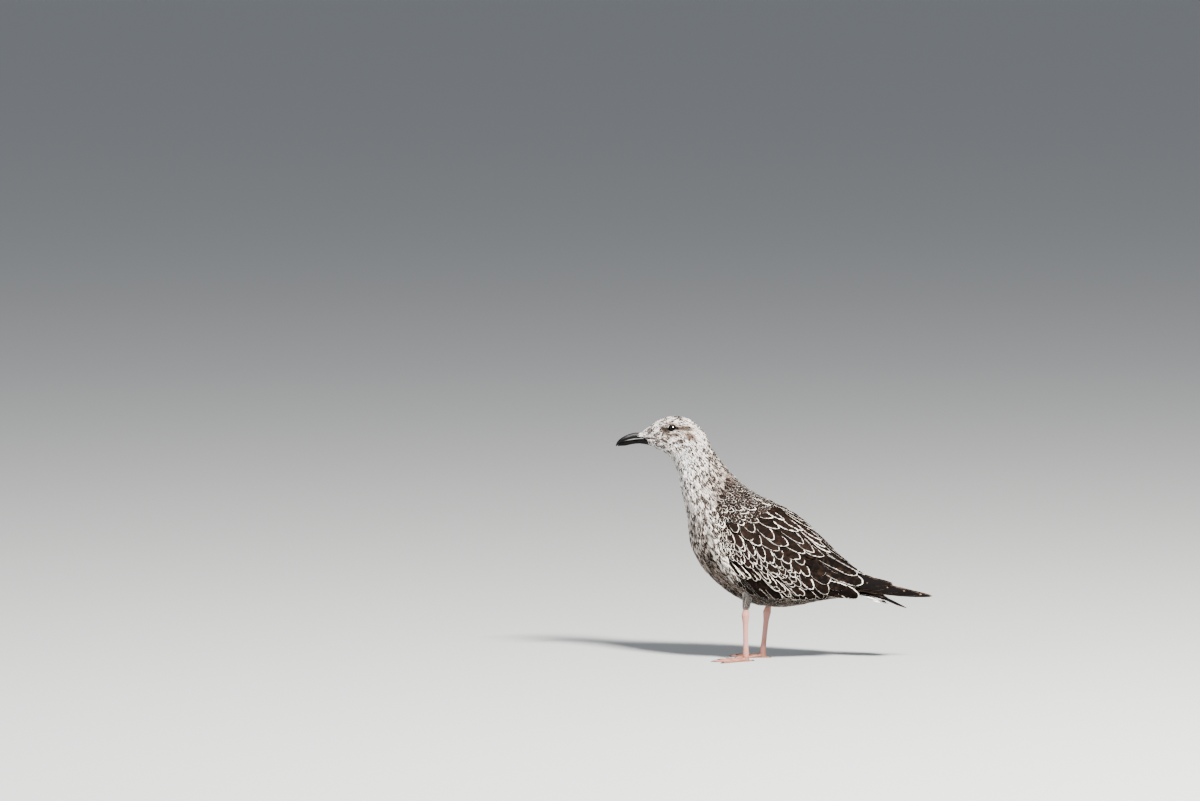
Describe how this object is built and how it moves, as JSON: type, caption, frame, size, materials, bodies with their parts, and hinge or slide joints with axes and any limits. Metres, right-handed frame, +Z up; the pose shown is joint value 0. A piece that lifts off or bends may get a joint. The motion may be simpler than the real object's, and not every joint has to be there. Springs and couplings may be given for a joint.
{
  "type": "juvenile large gull, standing, as a still museum model",
  "caption": "Life-size still model of a young large gull standing with folded wings, brown and white scaled plumage, dark bill and pink webbed feet.",
  "frame": {"origin": "on the ground, in the middle of the bird's outline seen from above", "axes": "+Z up, the bird looks along -X with its tail towards +X, and its left side faces -Y"},
  "size_m": [0.4868, 0.1378, 0.3778],
  "materials": {
    "head_feathers": "soft short feathers, whitish with grey-brown streaks",
    "body_feathers": "soft feathers, white mottled with grey-brown",
    "wing_feathers": "blackish-brown vanes with thin white fringes",
    "flight_feathers": "smooth blackish flight feathers",
    "bill_horn": "smooth blackish horn",
    "eye_brown": "glossy, very dark brown",
    "leg_skin": "scaly flesh-pink skin",
    "claw_horn": "dark horn"
  },
  "bodies": {
    "root": {"head": "head_feathers", "neck": "head_feathers", "trunk": "body_feathers", "tail": "flight_feathers", "bill_upper": "bill_horn", "bill_lower": "bill_horn", "eye_left": "eye_brown", "eye_right": "eye_brown", "scapulars_left": "wing_feathers", "scapulars_right": "wing_feathers", "wing_left": "wing_feathers", "wing_right": "wing_feathers", "tertials_left": "wing_feathers", "tertials_right": "wing_feathers", "primaries_left": "flight_feathers", "primaries_right": "flight_feathers", "thigh_left": "body_feathers", "thigh_right": "body_feathers", "leg_left": "leg_skin", "leg_right": "leg_skin", "foot_left": "leg_skin", "foot_right": "leg_skin", "claw_left_inner": "claw_horn", "claw_left_middle": "claw_horn", "claw_left_outer": "claw_horn", "claw_left_hind": "claw_horn", "claw_right_inner": "claw_horn", "claw_right_middle": "claw_horn", "claw_right_outer": "claw_horn", "claw_right_hind": "claw_horn"}
  },
  "joints": []
}
